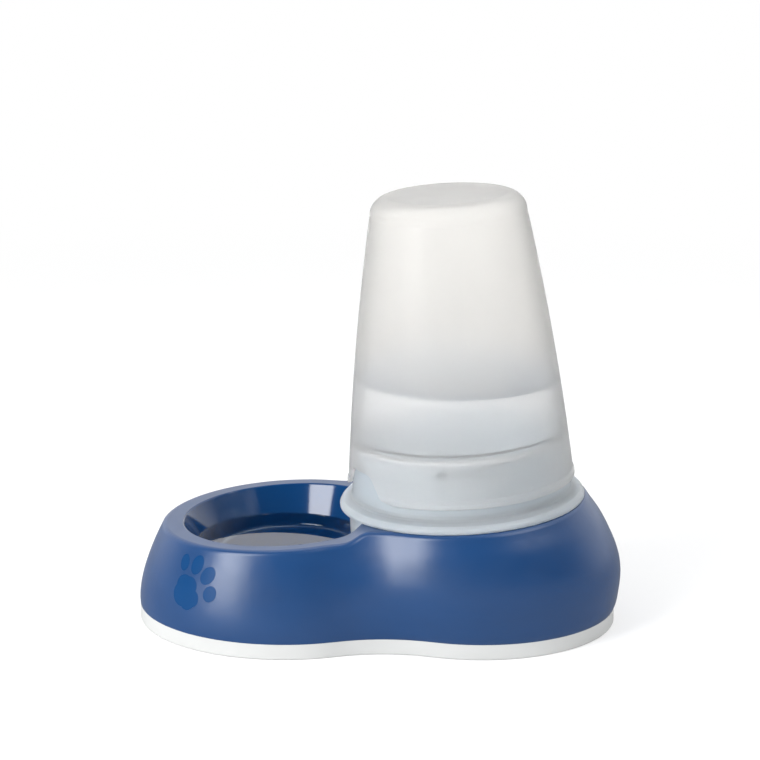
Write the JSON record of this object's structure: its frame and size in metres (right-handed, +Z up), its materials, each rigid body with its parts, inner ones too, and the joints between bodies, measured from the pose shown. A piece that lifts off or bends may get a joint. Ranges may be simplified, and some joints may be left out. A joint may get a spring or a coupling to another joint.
{
  "type": "pet water dispenser",
  "caption": "Gravity pet water dispenser: translucent upturned tank on a saucer-shaped collar, feeding a round drinking bowl in a two-lobed base with a soft foot band.",
  "frame": {"origin": "On the floor under the middle of the part's bounding box.", "axes": "+Z up. The bowl is towards -X and the tank towards +X; the XZ plane is the plane of symmetry of the base. The moulded top, collar and tank lean 3.1 degrees about Y, falling towards the bowl."},
  "size_m": [0.2978, 0.1706, 0.2675],
  "materials": {
    "base_plastic": "satin",
    "band_rubber": "matte",
    "paw_plastic": "gloss",
    "collar_plastic": "satin",
    "tank_plastic": "satin",
    "gasket_rubber": "matte",
    "bridge_plastic": "satin",
    "stem_plastic": "satin",
    "seal_rubber": "matte",
    "spring_steel": "satin"
  },
  "bodies": {
    "base": {"base_shell": "base_plastic", "nonslip_band": "band_rubber", "paw_inlay": "paw_plastic"},
    "collar": {"collar": "collar_plastic", "collar_gasket": "gasket_rubber", "valve_bridge": "bridge_plastic", "valve_spring": "spring_steel"},
    "tank": {"tank": "tank_plastic"},
    "valve": {"valve_stem": "stem_plastic", "valve_seal": "seal_rubber"}
  },
  "joints": [
    {"name": "collar_lift", "type": "slide", "parent": "base", "child": "collar", "axis": [-0.0541, 0, 0.9985], "range_m": [0, 0.1]},
    {"name": "tank_lock", "type": "hinge", "parent": "collar", "child": "tank", "pos_m": [0.04991, 0, 0.09284], "axis": [-0.0541, 0, 0.9985], "range_deg": [0, 30]},
    {"name": "valve_slide", "type": "slide", "parent": "collar", "child": "valve", "axis": [-0.0541, 0, 0.9985], "range_m": [-0.005, 0], "deforming": ["valve_spring"]}
  ],
  "couplings": [
    {"joint": "valve_slide", "follows": "collar_lift", "ratio": -0.05}
  ]
}
